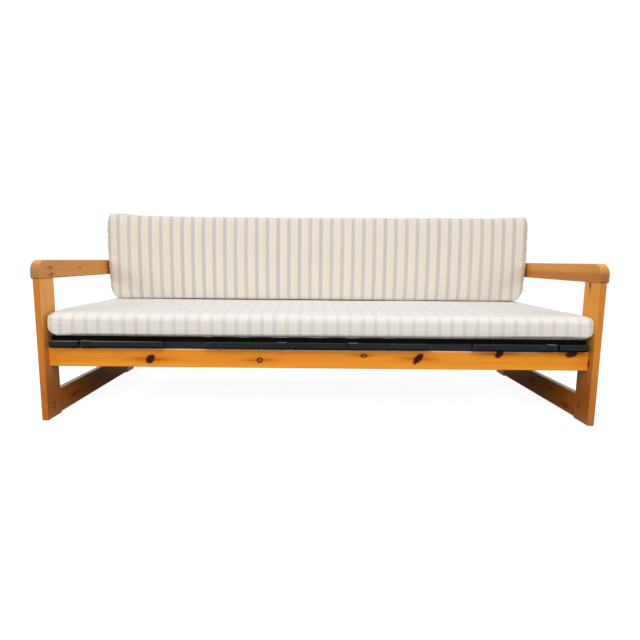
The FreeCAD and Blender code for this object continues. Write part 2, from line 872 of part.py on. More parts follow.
def pine_frame():
    """Every piece that stands still."""
    parts = {}
    for name, side in SIDES:
        parts[name + "_front_post"] = post(side, -1)
        parts[name + "_rear_post"] = post(side, 1)
        parts[name + "_arm_rail"] = arm_rail(side)
        parts[name + "_floor_runner"] = tenoned_board(side, runner_span())
        parts[name + "_side_rail"] = drilled(tenoned_board(side, side_rail_span()),
                                             channel_screws(fit_clearance))
        parts[name + "_guide_channel"] = guide_channel(side)

    front_span = (front_rail_front, front_rail_back)
    rear_span = (rear_rail_front, rear_rail_back)
    board_span = (rear_post_front, rear_post_front + back_board_thickness)
    rail_span = (rail_bottom, rail_top)
    screws = ledger_screws(fit_clearance)
    parts["front_rail"] = drilled(cross_board("front_rail", front_span, rail_span), screws)
    parts["rear_rail"] = drilled(cross_board("rear_rail", rear_span, rail_span), screws)
    lower_span = (lower_board_bottom, lower_board_bottom + lower_board_height)
    parts["lower_back_board"] = cross_board("lower_back_board", board_span, lower_span)
    upper_span = (arm_top - upper_board_height, arm_top)
    parts["upper_back_board"] = cross_board("upper_back_board", board_span, upper_span)
    for name in ("lower_back_board", "upper_back_board"):
        parts[name] = drilled(parts[name], back_slat_screws(fit_clearance))
    parts["back_slats"] = back_slats()
    parts["front_slat_ledger"] = ledger((front_rail_back, front_rail_back + ledger_width))
    parts["rear_slat_ledger"] = ledger((rear_rail_front - ledger_width, rear_rail_front))
    parts["base_slats"] = base_slats()
    parts["channel_mouth_pads"] = mouth_pads()

    joints = [joint[1:] for joint in frame_joints()]
    parts["rail_bolts"] = Part.makeCompound([bolt_along(*joint) for joint in joints])
    parts["barrel_nuts"] = Part.makeCompound([barrel_at(side, y, z) for side, _, y, z in joints])
    dowels = [rail_dowel_at(side, y, z) for side, _, y, z in joints]
    parts["rail_dowels"] = Part.makeCompound(dowels)
    parts["arm_dowels"] = Part.makeCompound(arm_dowels(-1) + arm_dowels(1))
    parts["ledger_screws"] = Part.makeCompound(ledger_screws())
    parts["slat_screws"] = Part.makeCompound(base_slat_screws() + back_slat_screws())
    parts["channel_screws"] = Part.makeCompound(channel_screws())
    return parts


def seat_frame():
    """Every piece that slides out with the seat, apart from the legs and the soft parts."""
    parts = {}
    stub_start = outer_pivot + bracket_width / 2 + stub_gap
    for name, side in SIDES:
        parts[name + "_side_bar"] = side_bar(side)
        parts[name + "_front_skid"] = skid(mirrored((outer_pivot - skid_outer_reach, bar_inner),
                                                    side))
        parts[name + "_stub_tube"] = stub(mirrored((stub_start, angle_half), side))
    skid_half = inner_pivot + skid_inner_reach
    parts["centre_front_skid"] = skid((-skid_half, skid_half))
    stub_half = inner_pivot - bracket_width / 2 - stub_gap / 2
    parts["centre_stub_tube"] = stub((-stub_half, stub_half))
    parts["front_angle"] = front_angle()
    parts["rear_angle"] = rear_angle()
    parts["cross_bar"] = cross_bar()
    parts["side_bar_pads"] = bar_pads()
    parts["side_bar_caps"] = bar_caps()
    parts["seat_slats"] = seat_slats()
    parts["slat_rivets"] = Part.makeCompound(slat_rivets())
    parts["leg_pivot_bolts"] = pivot_bolts()
    parts["leg_pivot_nuts"] = pivot_nuts()
    for name, x, _ in pivots():
        parts[name + "_leg_bracket"] = bracket(x)
    return parts


def legs():
    parts = {}
    for name, x, way in pivots():
        parts[name + "_leg"] = leg_tube(x, way)
        parts[name + "_leg_cap"] = leg_cap(x, way)
    return parts


def main():
    parts = {}
    parts.update(pine_frame())
    parts.update(seat_frame())
    parts.update(legs())
    parts["seat_mattress"] = mattress()
    parts["back_cushion"] = back_cushion(parts["seat_mattress"], parts["back_slats"])

    os.makedirs("parts", exist_ok=True)
    for name, shape in parts.items():
        shape.exportStep("parts/" + name + ".step")
        state = "" if shape.isValid() else " is not valid"
        print(name, len(shape.Solids), round(shape.Volume), state)


main()
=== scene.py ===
import math
import random

import bmesh
import bpy
import numpy as np
from mathutils import Matrix, Vector


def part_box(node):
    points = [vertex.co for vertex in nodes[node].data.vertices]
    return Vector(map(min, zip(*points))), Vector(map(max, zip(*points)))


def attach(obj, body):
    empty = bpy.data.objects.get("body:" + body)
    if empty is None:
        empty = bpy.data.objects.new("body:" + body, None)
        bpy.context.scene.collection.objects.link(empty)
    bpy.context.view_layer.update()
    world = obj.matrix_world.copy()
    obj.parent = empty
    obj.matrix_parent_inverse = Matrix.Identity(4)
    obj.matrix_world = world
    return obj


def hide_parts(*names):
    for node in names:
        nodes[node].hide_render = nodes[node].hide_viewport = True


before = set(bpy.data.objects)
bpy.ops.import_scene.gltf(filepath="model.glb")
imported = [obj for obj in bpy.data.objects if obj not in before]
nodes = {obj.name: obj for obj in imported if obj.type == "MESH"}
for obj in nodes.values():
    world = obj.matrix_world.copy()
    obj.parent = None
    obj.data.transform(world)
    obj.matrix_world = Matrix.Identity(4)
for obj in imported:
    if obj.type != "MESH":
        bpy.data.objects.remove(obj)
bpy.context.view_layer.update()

# The looks of a pine bench bed with a steel seat frame, a striped mattress and a back cushion.
# Metres, in the frame of the solids: X to the right, Y to the rear, Z up.

millimetre = 0.001

# Camera, solved from the side frames, rails and feet of the photograph
camera_place = (-0.0302, -2.0895, 0.6014)
camera_yaw = -0.0082
camera_pitch = 0.1337
camera_roll = -0.0073
camera_clip = (0.05, 60.0)
focal_pixels = 465.58
photo_pixels = 640
shift_pixels = (14.26, 2.59)
sensor_width = 36.0

# Both cushions
seat_low, seat_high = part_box("seat_mattress")
back_low, back_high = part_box("back_cushion")
start_gap, quick_start_gap = 0.003, 0.002
puff_cap = 0.0045
voxel = 0.009
seam_inset = 0.016
end_reach = 0.005
rest_gap = 0.3 * millimetre

# Sewing: the depth and width of the end seams, their puckers, and waves in a loose filling
seam_depth, seam_width = 1.8 * millimetre, 0.006
pucker_depth, pucker_run, pucker_scale = 0.7 * millimetre, 0.040, 0.034
loose_depth, loose_scale = 0.9 * millimetre, 0.26

# Mattress: the (width, height) of each side's lower and upper rounding, and its crown
side_edges = ((0.010, 0.014), (0.026, 0.026))
left_edges = ((0.040, 0.032), (0.012, 0.012))
right_edges = ((0.024, 0.026), (0.009, 0.009))
mattress_wall = 0.090
mattress_corner = 0.010
crown_shares = (0.06, 0.14, 0.25, 0.38, 0.52, 0.68, 0.84)
crown_fuller = (0.012, 0.014)
end_hollow, side_hollow = 0.001, 0.004
mattress_fine_ends = (0.034, 0.026)
mattress_sink = (end_reach, 0.001, 0.005)

# Mattress front: the lip that rolls up off the steel, and the ears at its corners
lip_lift, lip_lift_right = 0.0062, 0.0050
lip_depth, lip_fade, lip_height = 0.023, 0.008, 0.050
ear_drop = 0.004
ears = ((-0.936, 0.030), (0.962, 0.026))
ear_depth, ear_fade, ear_height = 0.018, 0.010, 0.020
least_ear = 0.02

# Mattress sides: how far the upper edges stand up, left and right, and from where
edge_rises = (0.0080, 0.0020)
edge_rise_width = 0.055
edge_rise_from, edge_rise_run = 0.045, 0.045
edge_rise_depth, edge_rise_depth_run = 0.015, 0.060

# Back cushion
cushion_thickness = 0.172
cushion_corner = 0.014
cushion_lean = 0.012
cushion_off_slats = 0.003
cushion_end_edge = (0.007, 0.007)
cushion_bottom_edges = ((0.062, 0.044), (0.064, 0.046))
cushion_top_edges = ((0.060, 0.020), (0.050, 0.017))
cushion_fine_ends = (0.070, 0.070)
rear_swell, front_swell, front_arch = 0.003, 0.006, 0.003
top_hollow = 0.0035
left_reach = 0.004
cushion_sink = (end_reach + left_reach, 0, 0.003)
cushion_press = (end_reach, 0.002, 0.001)
left_taper, right_taper = 0.006, 0.010
taper_height_share = 0.55
taper_run = 0.30
top_rises = ((0.040, 0.110, 0.0085), (0.060, 0.110, 0.0020))
top_rise_share = 0.80


# Shader nodes

class Value:
    """A number or vector that a node gives; sums and products of values add math nodes."""

    def __init__(self, shade, socket):
        self.shade = shade
        self.socket = socket

    def __add__(self, other):
        return self.shade.math("ADD", self, other)

    def __sub__(self, other):
        return self.shade.math("SUBTRACT", self, other)

    def __rsub__(self, other):
        return self.shade.math("SUBTRACT", other, self)

    def __mul__(self, other):
        return self.shade.math("MULTIPLY", self, other)

    def __abs__(self):
        return self.shade.math("ABSOLUTE", self)


class Shade:
    """The node tree of a material or a world, with short calls for the nodes used most."""

    def __init__(self, owner, output="OutputMaterial"):
        owner.use_nodes = True
        self.owner = owner
        self.tree = owner.node_tree
        self.tree.nodes.clear()
        self.output = self.node(output)

    def node(self, kind, **settings):
        made = self.tree.nodes.new("ShaderNode" + kind)
        for key, value in settings.items():
            setattr(made, key, value)
        return made

    def put(self, socket, value):
        if isinstance(value, Value):
            self.tree.links.new(value.socket, socket)
        else:
            if hasattr(socket.default_value, "__len__") and len(socket.default_value) == 4:
                value = (*value, 1) if len(value) == 3 else value
            socket.default_value = value

    def fill(self, made, *values):
        """Give a node's first inputs their values; its first output."""
        for socket, value in zip(made.inputs, values):
            self.put(socket, value)
        return Value(self, made.outputs[0])

    def give(self, made, **inputs):
        """Give a node's inputs their values by name; its first output."""
        for key, value in inputs.items():
            self.put(made.inputs[key.replace("_", " ")], value)
        return Value(self, made.outputs[0])

    def read(self, kind, output):
        return Value(self, self.node(kind).outputs[output])

    def math(self, operation, *values, clamp=False):
        return self.fill(self.node("Math", operation=operation, use_clamp=clamp), *values)

    def vector(self, operation, *values):
        return self.fill(self.node("VectorMath", operation=operation), *values)

    def join(self, x, y, z=0.0):
        return self.fill(self.node("CombineXYZ"), x, y, z)

    def scaled(self, places, scales):
        """A vector of some coordinates, each times its own scale."""
        return self.join(*(place * scale for place, scale in zip(places, scales)))

    def length(self, vector):
        made = self.node("VectorMath", operation="LENGTH")
        self.fill(made, vector)
        return Value(self, made.outputs["Value"])

    def split(self, vector):
        made = self.node("SeparateXYZ")
        self.fill(made, vector)
        return tuple(Value(self, output) for output in made.outputs)

    def noise(self, vector, scale=1.0, detail=2.0, roughness=0.5):
        return self.give(self.node("TexNoise"), Vector=vector, Scale=scale, Detail=detail,
                         Roughness=roughness)

    def random(self, value):
        return self.give(self.node("TexWhiteNoise", noise_dimensions="1D"), W=value)

    def range(self, value, low, high, to_low=0.0, to_high=1.0, smooth=True):
        made = self.node("MapRange", interpolation_type="SMOOTHSTEP" if smooth else "LINEAR")
        return self.fill(made, value, low, high, to_low, to_high)

    def fall(self, value, low, high, top=1.0):
        """The top value up to low, fading to 0 at high."""
        return self.range(value, low, high, top, 0.0)

    def band(self, value, rise, fall):
        """1 between a rise and a fall, each from one value to another."""
        return self.range(value, *rise) * self.fall(value, *fall)

    def bell(self, value, width):
        """1 where the value is 0, fading out over the width to either side."""
        scaled = value * (1 / width)
        return self.math("EXPONENT", scaled * scaled * -1.0)

    def oval_bell(self, across, along, size, reach):
        """1 at a point, fading out over an oval; reach is its half widths in sizes."""
        apart = self.length(self.scaled((across, along), (1 / (share * size) for share in reach)))
        return self.math("EXPONENT", self.math("POWER", apart, 2.0) * -1.0)

    def ramp(self, value, stops):
        """Grey levels at some places, joined by straight changes."""
        made = self.node("ValToRGB")
        elements = made.color_ramp.elements
        while len(elements) < len(stops):
            elements.new(0.5)
        for element, (place, level) in zip(elements, stops):
            element.position = place
            element.color = (level, level, level, 1)
        return self.fill(made, value)

    def mix(self, share, a, b, blend="MIX"):
        made = self.node("Mix", data_type="RGBA", blend_type=blend)
        for number, value in ((0, share), (6, a), (7, b)):
            self.put(made.inputs[number], value)
        return Value(self, made.outputs[2])

    def tinted(self, share, colour, tint):
        """A colour, by some share multiplied by another."""
        return self.mix(share, colour, tint, "MULTIPLY")

    def bump(self, height, distance):
        return self.give(self.node("Bump"), Height=height, Distance=distance, Strength=1.0)

    def place(self):
        return self.read("TexCoord", "Object")

    def facing(self):
        return self.split(self.read("NewGeometry", "Normal"))

    def facing_up(self, low, high):
        """1 on faces that look up, 0 on upright ones."""
        return self.range(self.facing()[2], low, high)

    def show(self, shader):
        self.put(self.output.inputs["Surface"], shader)

    def surface(self, colour, roughness, normal, **constants):
        """The main shader; constants are set on its own sockets."""
        self.show(self.give(self.node("BsdfPrincipled"), Base_Color=colour, Roughness=roughness,
                            Normal=normal, **constants))
        return self.owner


def material(name):
    return Shade(bpy.data.materials.new(name))


def swing(noise, reach):
    """A noise of 0 to 1 as a change to either side, by half the reach at most."""
    return (noise - 0.5) * reach


def toned(colour, scales, lift=0.0):
    """A colour times a number, or times three, and raised a little."""
    scales = scales if isinstance(scales, tuple) else (scales,) * 3
    return tuple(part * scale + lift for part, scale in zip(colour, scales))


def dress(made, *names):
    """Give a material to every slot of the named solids."""
    for name in names:
        slots = nodes[name].material_slots
        if not slots:
            nodes[name].data.materials.append(made)
        for slot in slots:
            slot.material = made


# Wood

# The coordinates across a board's wide face, through its depth and along its grain
grain_axes = {"X": (2, 1, 0), "Y": (2, 0, 1), "Z": (1, 0, 2)}
slow_scales, quick_scales = (5.0, 5.0, 1.1), (34.0, 34.0, 3.4)
fibre_scales, vein_scales, patch_scales = (850.0, 850.0, 16.0), (150.0, 150.0, 0.9), (9.0, 9.0, 1.6)
sway_reach, waver_reach = 0.060, 0.0045
late_wood = ((0.0, 0.10), (0.45, 0.04), (0.80, 0.55), (0.93, 1.0), (1.0, 0.10))
base_share, late_share, fibre_share, vein_share, patch_share = 0.20, 0.26, 0.42, 0.55, 0.75
end_grain_tint = (0.58, 0.66, 1.0)

# How far the pieces of one node lie apart in the wood, and from the middle of the trunk
island_steps = (7.3, 3.1, 5.7)
island_wrap = (0.05, 0.02)
island_spread = 0.09

# A knot's shape in multiples of its radius, and its colours
bend_reach, flame_reach, line_reach = (2.4, 6.5), (1.1, 7.0), (0.17, 5.5)
knot_raggedness = 1.15
core_edge, middle_edge, glow_edge = (0.86, 1.02), (0.40, 0.78), (0.95, 1.75)
rim_edges = ((0.74, 0.95), (1.05, 1.30))
sound_knot = 0.0095
flame_tone = (0.80, 0.52, 0.35)
glow_colour = (0.520, 0.105, 0.010)
line_colour = (0.300, 0.070, 0.010)
core_dark, core_pale = (0.014, 0.003, 0.003), (0.085, 0.020, 0.020)
rim_colour = (0.030, 0.004, 0.002)
sound_colour = (0.520, 0.170, 0.100)


def from_pith(shade, board, pith, own):
    """How far from the middle of the trunk the wood grew."""
    across, depth, _ = board
    if own is None:
        return shade.length(shade.join(across - pith[0], depth - pith[1]))
    across, depth = (shade.math("PINGPONG", place, wrap)
                     for place, wrap in zip(board, island_wrap))
    return shade.length(shade.join(across + swing(shade.random(own), island_spread),
                                   depth + pith[1]))


def knotted(shade, radius, across, along, knots):
    """Bend the rings round a board's knots; also the masks of the knots' parts."""
    masks = {}
    for place_across, place_along, size, stretch, tilt in knots:
        aside, ahead = across - place_across, along - place_along
        cosine, sine = math.cos(tilt), math.sin(tilt)
        inner = shade.join((aside * cosine - ahead * sine) * (1 / size),
                           (aside * sine + ahead * cosine) * (1 / (size * stretch)))
        own_place = shade.vector("ADD", inner, (place_along * 40, tilt * 9, 1.7))
        ragged = shade.noise(own_place, 1.35, 3.0, 0.6)
        apart = shade.length(inner) + swing(ragged, knot_raggedness)
        radius += shade.oval_bell(aside, ahead, size, bend_reach) * (0.9 * size)
        drift = aside + ahead * (0.035 * math.sin(37 * place_along))
        parts = {
            "flame": shade.oval_bell(aside, ahead, size, flame_reach),
            "glow": shade.fall(apart, *glow_edge, 0.85),
            "line": shade.oval_bell(drift, ahead, size, line_reach),
            "core": shade.fall(apart, *core_edge),
            "rim": shade.band(apart, *rim_edges),
        }
        if size < sound_knot:
            parts["sound"] = shade.fall(apart, *middle_edge)
        for part, mask in parts.items():
            masks[part] = shade.math("MAXIMUM", masks[part], mask) if part in masks else mask
    return radius, masks


def knot_colours(shade, colour, dark, masks):
    """Paint the knots: a flame along the grain, a glow, a fine line, the core and its rim.

    A small knot is a sound one, with a pale middle.
    """
    swirl = shade.noise(shade.place(), 150.0, 4.0, 0.6)
    core = shade.mix(shade.range(swirl, 0.38, 0.62), core_dark, core_pale)
    layers = (("flame", 0.62, toned(dark, flame_tone)), ("glow", 1.0, glow_colour),
              ("line", 0.80, line_colour), ("core", 1.0, core), ("rim", 0.90, rim_colour),
              ("sound", 0.85, sound_colour))
    for part, share, tint in layers:
        if part in masks:
            colour = shade.mix(masks[part] * share, colour, tint)
    return colour


def late_lines(shade, radius, ring_pitch, seed):
    """Each ring goes from pale early wood to a thin dark line of late wood."""
    rings = radius * (1 / ring_pitch)
    rings += shade.noise(shade.join(rings * 0.13, 0.0, float(seed % 17)), 1.0, 1.0) * 4.0
    late = shade.ramp(shade.math("FRACT", rings), late_wood)
    strength = shade.random(shade.math("FLOOR", rings))
    return late * shade.range(strength, 0.0, 1.0, 0.35, 1.0, False)


def streaked(shade, colour, across, slow, fibre, streak):
    """A band of another colour along the grain, with wavy, soft edges."""
    low, high, tint = streak
    level = across + swing(shade.noise(slow, 2.6, 4.0, 0.6), 0.030)
    blur = (high - low) * 0.22
    inside = shade.band(level, (low - blur, low + blur), (high - blur, high + blur))
    return shade.mix(inside * (fibre * 0.7 + 0.45) * 0.75, colour, tint)


def wood(name, grain, seed, light, dark, pith=(0.045, 0.05), knots=(), streak=None,
         ring_pitch=0.0034, varnish=0.35, islands=False, gloss=0.28, coat=0.06, tints=()):
    """A plank's material. Its growth rings are cut from round a pith line along the grain.

    Knots are (across, along, radius, stretch, tilt) on the board's wide face; a streak is
    (low, high, colour), a band along the grain. Tints are (mask, colour, blend), colours for some
    parts of the board alone, some of them painted light or shade. With islands, each piece of the
    node is wood from another place.
    """
    shade = material(name)
    chance = random.Random(seed)
    shift = tuple(chance.uniform(-3, 3) for _ in range(3))
    spots = shade.split(shade.place())
    facing = shade.facing()
    board = tuple(spots[number] for number in grain_axes[grain])
    own = shade.read("NewGeometry", "Random Per Island") if islands else None
    if islands:
        board = tuple(place + own * step for place, step in zip(board, island_steps))
    across, _, along = board

    def stretched(scales, start=shift):
        return shade.vector("ADD", shade.scaled(board, scales), start)

    # The rings sway slowly along the trunk and bend round each knot.
    slow = stretched(slow_scales)
    sway = shade.noise(slow, 1.0, 2.0, 0.45)
    waver = shade.noise(stretched(quick_scales), 1.0, 3.0)
    radius = (from_pith(shade, board, pith, own) + swing(sway, sway_reach)
              + swing(waver, waver_reach))
    radius, masks = knotted(shade, radius, across, along, knots)
    late = late_lines(shade, radius, ring_pitch, seed)

    fibre = shade.noise(stretched(fibre_scales), 1.0, 3.0, 0.65)
    patch = shade.noise(stretched(patch_scales, tuple(reversed(shift))))
    vein = shade.noise(stretched(vein_scales), 1.0, 3.0, 0.55)
    share = (late * late_share + swing(fibre, fibre_share) + swing(vein, vein_share)
             + swing(patch, patch_share))
    colour = shade.mix(shade.math("ADD", share, base_share, clamp=True), light, dark)
    if islands:
        tone = shade.range(shade.random(own * 91.7), 0.0, 1.0, 0.80, 1.08, False)
        colour = shade.tinted(1.0, colour, shade.join(tone, tone, tone))
    if streak:
        colour = streaked(shade, colour, across, slow, fibre, streak)
    end_grain = shade.range(abs(facing["XYZ".index(grain)]), 0.55, 0.95)
    colour = shade.tinted(end_grain * 0.85, colour, end_grain_tint)
    for mask, tint, blend in tints:
        colour = shade.mix(mask(shade, spots, facing), colour, tint, blend)
    rough = shade.range(fibre, 0.25, 0.75, varnish - 0.05, varnish + 0.07, False)
    relief = late * 0.6 + fibre * 0.5
    if knots:
        colour = knot_colours(shade, colour, dark, masks)
        relief += masks["rim"] * -1.6
    return shade.surface(colour, rough, shade.bump(relief, 0.05 * millimetre), Coat_Weight=coat,
                         Coat_Roughness=0.22, Specular_IOR_Level=gloss)


# Masks of the parts of a board that have a colour of their own, or painted light or shade

rail_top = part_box("front_rail")[1].z
# Where the front rail's painted highlight lies: its depths below the top, and its ends
highlight_depths = (0.0048, 0.0026)
highlight_ends = (0.80, 0.84)
nick_height, nick_width = 0.102, 1.2 * millimetre


def highlit_rail_edge(shade, spots, facing):
    """The upper edge of the front rail, with a pale painted highlight but for its ends."""
    low, high = (rail_top - depth for depth in highlight_depths)
    return (shade.range(spots[2], low, high, 0.0, 0.8)
            * shade.fall(abs(spots[0]), *highlight_ends))


def sheen_broad_side(shade, spots, facing):
    """The broad sides of a post, from the seat up, where a paler, bluer painted sheen lies."""
    return shade.range(abs(facing[0]), 0.6, 0.9) * shade.range(spots[2], 0.22, 0.42)


def foot(shade, spots, facing):
    """The lower end of a post."""
    return shade.fall(spots[2], 0.08, 0.27)


def nick(shade, spots, facing):
    """A line scratched across a post's front, above the runner's height."""
    return (shade.fall(facing[1], -0.9, -0.6, 0.7)
            * shade.bell(spots[2] - nick_height, nick_width))


def sheen_top_side(shade, spots, facing):
    """The faces that look up, where the runners get a pale painted sheen."""
    return shade.range(facing[2], 0.6, 0.9)


def rear_part(shade, spots, facing):
    """The part of a runner towards the rear, in the shade of the bed."""
    return shade.range(spots[1], -0.33, 0.12)


# The boards: grain, tone and pith line, and what is special on some of them

pine_tones = {
    "rail": ((0.950, 0.352, 0.036), (0.600, 0.160, 0.014)),
    "post": ((0.670, 0.235, 0.026), (0.375, 0.092, 0.007)),
    "left_arm": ((0.720, 0.320, 0.080), (0.450, 0.160, 0.030)),
    "right_arm": ((0.850, 0.370, 0.064), (0.580, 0.190, 0.028)),
    # The runners' pine is the posts' made darker: painted shade under the bed
    "runner": ((0.560, 0.180, 0.014), (0.300, 0.074, 0.005)),
}
boards = {
    "front_rail": ("X", "rail", (0.250, -0.330)),
    "rear_rail": ("X", "rail", (0.225, 0.330)),
    "upper_back_board": ("X", "post", (0.575, 0.270)),
    "lower_back_board": ("X", "post", (0.455, 0.280)),
    "front_slat_ledger": ("X", "post", (0.190, -0.300)),
    "rear_slat_ledger": ("X", "post", (0.190, 0.300)),
    "left_front_post": ("Z", "post", (-0.340, -1.050)),
    "right_front_post": ("Z", "post", (-0.345, 1.060)),
    "left_rear_post": ("Z", "post", (0.370, -1.060)),
    "right_rear_post": ("Z", "post", (0.400, 1.050)),
    "left_arm_rail": ("Y", "left_arm", (0.540, -1.060)),
    "right_arm_rail": ("Y", "right_arm", (0.600, 1.055)),
    "left_floor_runner": ("Y", "runner", (0.050, -1.070)),
    "right_floor_runner": ("Y", "runner", (0.030, 1.060)),
    "left_side_rail": ("Y", "post", (0.240, -1.070)),
    "right_side_rail": ("Y", "post", (0.270, 1.060)),
}

# Knots as (across, along, radius, stretch, tilt) on each board's wide face
board_knots = {
    "front_rail": (
        (0.2313, -0.6222, 0.0112, 1.45, 0.85), (0.2309, -0.2144, 0.0085, 1.1, 0.2),
        (0.2515, 0.1721, 0.0062, 1.6, 0.1), (0.2416, 0.3731, 0.0105, 1.85, 0.85),
        (0.262, 0.6719, 0.0098, 1.5, 0.7), (0.264, 0.9379, 0.0098, 1.9, 0.25),
    ),
    "left_arm_rail": ((0.5668, -0.3463, 0.004, 1.0, 0.0), (0.5411, -0.3439, 0.0048, 1.7, 0.9),
                      (0.565, -0.1213, 0.0026, 2.6, 0.0), (0.552, 0.28, 0.007, 1.3, 0.3)),
    "right_arm_rail": ((0.548, 0.19, 0.008, 1.2, 0.4),),
    "left_front_post": ((-0.3786, 0.046, 0.004, 3.0, 0.0), (-0.35, 0.335, 0.009, 1.2, 0.3)),
    "right_front_post": ((-0.3661, 0.5163, 0.0048, 1.6, 0.2), (-0.3594, 0.0579, 0.004, 2.4, 0.0),
                         (-0.39, 0.23, 0.011, 1.2, 0.5)),
    "left_rear_post": ((0.36, 0.39, 0.012, 1.2, 0.3), (0.395, 0.13, 0.008, 1.3, 0.1)),
    "right_rear_post": ((0.385, 0.45, 0.01, 1.2, 0.6), (0.356, 0.19, 0.007, 1.4, 0.2)),
    "left_floor_runner": ((0.0477, -0.2242, 0.008, 1.3, 0.5), (0.051, -0.0075, 0.009, 1.3, 0.2),
                          (0.065, 0.21, 0.008, 1.3, 0.2)),
    "right_floor_runner": ((0.03, -0.2695, 0.008, 1.3, 0.1), (0.0568, 0.0263, 0.01, 1.1, 0.5),
                           (0.07, -0.15, 0.006, 1.4, 0.2)),
    "left_side_rail": ((0.25, -0.13, 0.012, 1.3, 0.3), (0.23, 0.17, 0.008, 1.2, 0.6)),
    "right_side_rail": ((0.26, 0.05, 0.011, 1.2, 0.3), (0.225, -0.23, 0.007, 1.4, 0.5)),
    "rear_rail": ((0.24, -0.41, 0.012, 1.3, 0.4), (0.225, 0.12, 0.008, 1.2, 0.2),
                  (0.25, 0.73, 0.013, 1.2, 0.6)),
    "upper_back_board": ((0.56, -0.73, 0.011, 1.3, 0.4), (0.57, -0.15, 0.013, 1.2, 0.2),
                         (0.545, 0.36, 0.008, 1.4, 0.6), (0.565, 0.81, 0.01, 1.2, 0.3)),
    "lower_back_board": ((0.46, -0.52, 0.012, 1.2, 0.5), (0.47, 0.09, 0.009, 1.3, 0.2),
                         (0.455, 0.61, 0.012, 1.2, 0.4)),
}
board_streaks = {
    "right_arm_rail": (0.518, 0.562, (0.400, 0.110, 0.034)),
    "left_arm_rail": (0.515, 0.530, (0.520, 0.190, 0.050)),
    "front_rail": (0.190, 0.219, (0.960, 0.385, 0.032)),
}
# The lower end of a post is darker and more orange
darker_foot = (foot, (0.80, 0.70, 0.55), "MULTIPLY")
# Painted sheen on the posts' broad sides, strongest on the left posts
left_post_tints = ((sheen_broad_side, (1.43, 1.91, 3.70), "MULTIPLY"), darker_foot)
right_post_tints = ((sheen_broad_side, (1.39, 1.65, 1.60), "MULTIPLY"), darker_foot)
# Painted shade towards the runners' rear, and a pale painted sheen on their tops
runner_tints = ((rear_part, (0.40, 0.38, 0.40), "MULTIPLY"), (sheen_top_side, (0.600, 0.460, 0.350), "MIX"))
board_tints = {
    # A pale painted highlight along the rail's upper edge
    "front_rail": ((highlit_rail_edge, (1.0, 0.660, 0.400), "MIX"),),
    "left_front_post": (*left_post_tints, (nick, (0.200, 0.040, 0.004), "MIX")),
    "left_rear_post": left_post_tints,
    "right_front_post": right_post_tints,
    "right_rear_post": right_post_tints,
    "left_floor_runner": runner_tints,
    "right_floor_runner": runner_tints,
}

# Gloss and coat by the last words of a board's name
board_finishes = {"rail": (0.05, 0.0), "floor_runner": (0.05, 0.0), "side_rail": (0.10, 0.0),
                  "arm_rail": (0.22, 0.0)}
plain_finish = (0.28, 0.06)
slat_tones = ((0.700, 0.470, 0.245), (0.470, 0.255, 0.105))
slat_grains = {"base_slats": "Y", "seat_slats": "Y", "back_slats": "Z"}
dowel_tones = ((0.560, 0.340, 0.165), (0.430, 0.225, 0.095))
dowel_grains = {"rail_dowels": "X", "arm_dowels": "Z"}


def dress_wood():
    """Every wooden piece gets its own plank, so that no two show the same grain."""
    for number, (name, (grain, tone, pith)) in enumerate(boards.items()):
        gloss, coat = board_finishes.get(name.split("_", 1)[1], plain_finish)
        dress(wood("pine_" + name, grain, 11 + 7 * number, *pine_tones[tone], pith,
                   board_knots.get(name, ()), board_streaks.get(name), gloss=gloss, coat=coat,
                   tints=board_tints.get(name, ())), name)
    for number, (name, grain) in enumerate(slat_grains.items()):
        dress(wood("slat_" + name, grain, 211 + 5 * number, *slat_tones, (0.0, 0.035),
                   varnish=0.62, islands=True), name)
    for name, grain in dowel_grains.items():
        dress(wood("beech_" + name, grain, 307, *dowel_tones, (0.0, 0.030), ring_pitch=0.0016,
                   varnish=0.6, islands=True), name)


# Steel and plastic

# The front angle's paler, bluish lower part: a painted reflection
angle_reflection = (0.026, 0.029, 0.036)
# Colours of a painted highlight on the legs' tops, at the left end and elsewhere, and where it
# changes
leg_highlight = ((0.300, 0.270, 0.200), (0.075, 0.072, 0.062))
highlight_run = (-0.86, -0.45)


def enamel(name, colour, roughness, wear=0.0, gloss=0.03, below=None, lit_tops=None):
    """Black stoved enamel: a faint orange peel, cloudy gloss and a few rubbed places.

    After gloss comes (height, colour), a paler colour up to that height, a painted reflection;
    the last gives the colours of a painted highlight on upward faces, at the left end and elsewhere.
    """
    shade = material(name)
    place = shade.place()
    across, _, height = shade.split(place)
    cloud = shade.noise(place, 9.0, 4.0, 0.6)
    base = shade.mix(shade.range(cloud, 0.35, 0.75), colour, toned(colour, 1.6, 0.001))
    # Up to a height, a paler colour: a painted reflection
    if below:
        edge = (below[0] - 0.5 * millimetre, below[0] + 0.5 * millimetre)
        base = shade.mix(shade.fall(height, *edge), base, below[1])
    # Faces that look up get a painted highlight, brownish towards the left end
    if lit_tops:
        lit_top_colour = shade.mix(shade.range(across, *highlight_run), *lit_tops)
        base = shade.mix(shade.facing_up(0.6, 0.9), base, lit_top_colour)
    rubbed = shade.range(shade.noise(place, 30.0, 5.0, 0.7), 0.66, 0.74)
    base = shade.mix(rubbed * wear, base, (0.05, 0.048, 0.045))
    specks = shade.range(shade.noise(place, 1600.0), 0.66, 0.80, 0.0, 0.15)
    base = shade.mix(specks, base, (0.06, 0.06, 0.056))
    rough = shade.range(cloud, 0.3, 0.8, roughness - 0.06, roughness + 0.14, False)
    peel = shade.bump(shade.noise(place, 420.0), 0.06 * millimetre)
    return shade.surface(base, rough, peel, Specular_IOR_Level=gloss)


